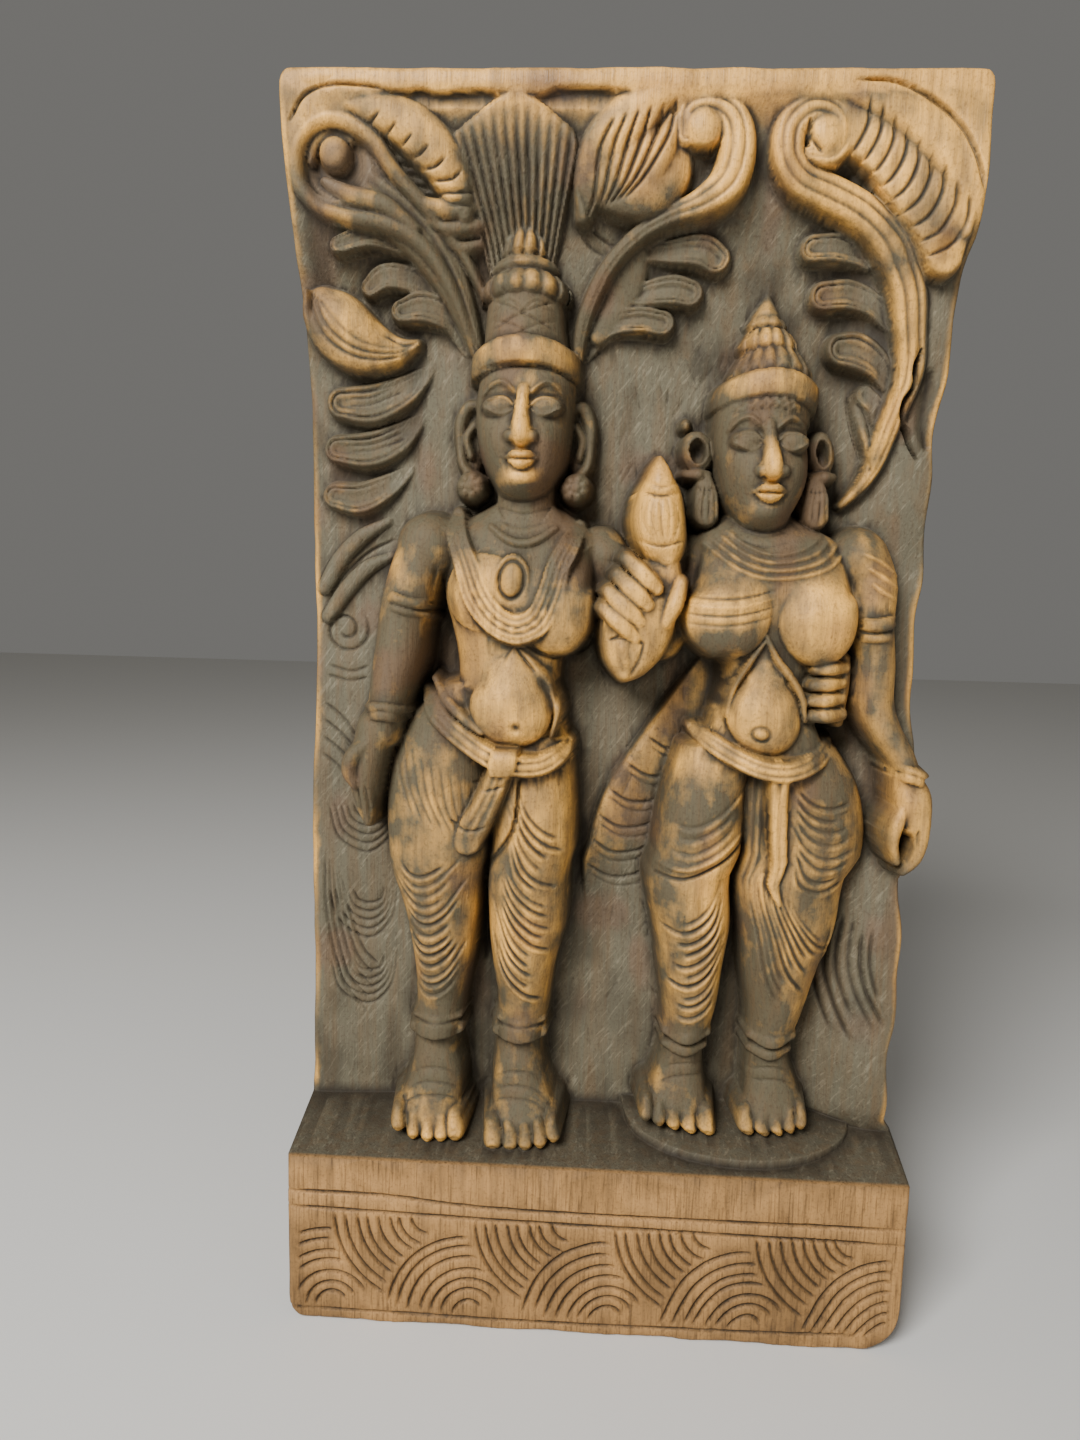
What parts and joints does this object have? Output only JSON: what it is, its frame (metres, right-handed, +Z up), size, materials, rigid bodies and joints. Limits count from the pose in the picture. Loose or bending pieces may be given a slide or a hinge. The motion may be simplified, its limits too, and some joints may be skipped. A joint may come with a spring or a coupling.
{
  "type": "carved wooden panel",
  "caption": "Upright wooden panel carved in deep relief with a standing man and woman under leaf scrolls, on a ledge over a patterned base block; stands or hangs as ornament.",
  "frame": {"origin": "middle of the flat underside of the base block, below the middle of the whole box", "axes": "+Z up the panel; the carving faces -Y and the flat back faces +Y; +X to the viewer's right"},
  "size_m": [0.315, 0.09, 0.61],
  "materials": {
    "carved_panel": "old waxed hardwood, honey-brown on the worn high places and dark grey-brown in the hollows"
  },
  "bodies": {
    "root": {"carved_panel": "carved_panel"}
  },
  "joints": []
}
